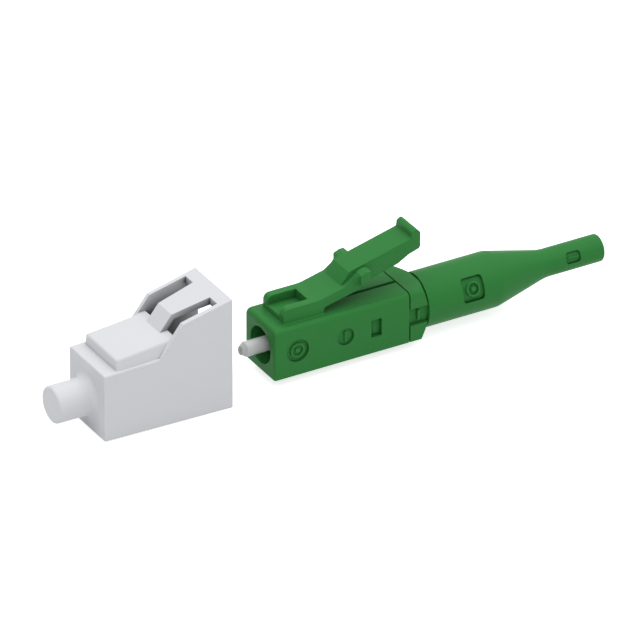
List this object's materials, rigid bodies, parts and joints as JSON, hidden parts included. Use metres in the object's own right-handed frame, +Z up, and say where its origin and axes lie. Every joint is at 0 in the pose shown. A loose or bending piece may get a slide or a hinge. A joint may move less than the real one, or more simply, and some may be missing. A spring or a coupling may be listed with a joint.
{
  "type": "lc fibre connector",
  "caption": "Small latched fibre-optic plug with a sprung ceramic ferrule, a tapered bend-relief boot and a push-on dust cap lying off in line.",
  "frame": {"origin": "on the ferrule's axis, in the plane of the housing's front face", "axes": "+X along the ferrule's axis to the rear, towards the boot; +Z up, towards the latch; +Y to the side away from the moulded pockets"},
  "size_m": [0.0492, 0.0058, 0.0101],
  "materials": {
    "green_housing": "satin moulded plastic",
    "green_boot": "satin soft plastic",
    "ceramic": "polished ceramic",
    "metal": "plain metal",
    "tube_plastic": "smooth plastic tube",
    "cap_plastic": "matt moulded plastic"
  },
  "bodies": {
    "connector": {"front_housing": "green_housing", "rear_body": "green_housing", "boot": "green_boot", "spring": "metal"},
    "latch": {"latch_arm": "green_housing"},
    "ferrule_group": {"ferrule": "ceramic", "ferrule_holder": "metal", "guide_tube": "tube_plastic"},
    "cap": {"dust_cap": "cap_plastic"}
  },
  "joints": [
    {"name": "latch_press", "type": "hinge", "parent": "connector", "child": "latch", "pos_m": [0.0056, 0, 0.00336], "axis": [0, 1, 0], "range_deg": [0, 14], "stiffness_Nm_per_rad": 0.1},
    {"name": "ferrule_push", "type": "slide", "parent": "connector", "child": "ferrule_group", "axis": [1, 0, 0], "range_m": [0, 0.0008], "stiffness_N_per_m": 1500, "deforming": ["spring"]},
    {"name": "cap_slide", "type": "slide", "parent": "connector", "child": "cap", "axis": [1, 0, 0], "range_m": [0, 0.014]}
  ]
}
